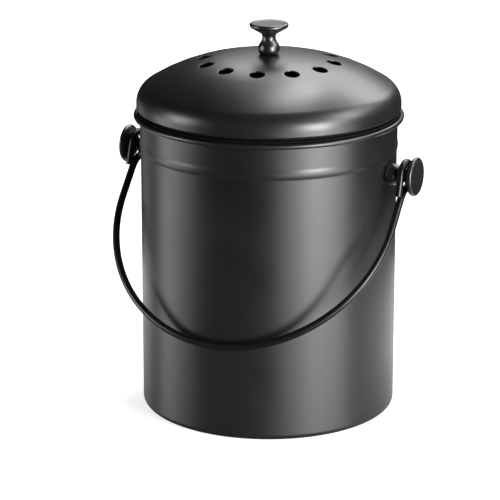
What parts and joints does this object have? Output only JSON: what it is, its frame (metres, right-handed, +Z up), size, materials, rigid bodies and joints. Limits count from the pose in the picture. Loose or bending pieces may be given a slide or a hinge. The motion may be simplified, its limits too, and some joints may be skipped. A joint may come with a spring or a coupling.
{
  "type": "compost bin",
  "caption": "Lidded steel compost pail with a wire bail on ear knobs, a vented domed lid with a knob, and a carbon filter in a holder under the lid.",
  "frame": {"origin": "middle of the ring that the pail stands on", "axes": "+Z up, +X along the two ears, the bail hangs towards -Y"},
  "size_m": [0.2218, 0.188, 0.2723],
  "materials": {
    "satin_black": "satin near-black paint on steel sheet",
    "gloss_black": "glossy near-black paint on turned metal and wire",
    "plated_steel": "zinc-plated steel",
    "black_rubber": "matt black rubber",
    "black_plastic": "fine-textured black plastic",
    "charcoal_felt": "charcoal filter felt"
  },
  "bodies": {
    "pail": {"pail_wall": "satin_black", "pail_base": "satin_black", "ear_knob_left": "gloss_black", "ear_knob_right": "gloss_black", "ear_screw_left": "plated_steel", "ear_screw_right": "plated_steel", "ear_washer_left": "plated_steel", "ear_washer_right": "plated_steel", "ear_seal_left": "black_rubber", "ear_seal_right": "black_rubber"},
    "lid": {"lid_dome": "satin_black", "lid_collar": "satin_black", "lid_knob": "gloss_black", "lid_knob_screw": "plated_steel", "lid_knob_washer": "plated_steel"},
    "filter": {"filter_retainer": "black_plastic", "filter_pad": "charcoal_felt"},
    "handle": {"handle": "gloss_black"}
  },
  "joints": [
    {"name": "handle_swing", "type": "hinge", "parent": "pail", "child": "handle", "pos_m": [0, 0, 0.1752], "axis": [-1, 0, 0], "range_deg": [0, 279]},
    {"name": "lid_lift", "type": "slide", "parent": "pail", "child": "lid", "axis": [0, 0, 1], "range_m": [0, 0.12]},
    {"name": "filter_pull", "type": "slide", "parent": "lid", "child": "filter", "axis": [0, 0, -1], "range_m": [0, 0.011]}
  ]
}
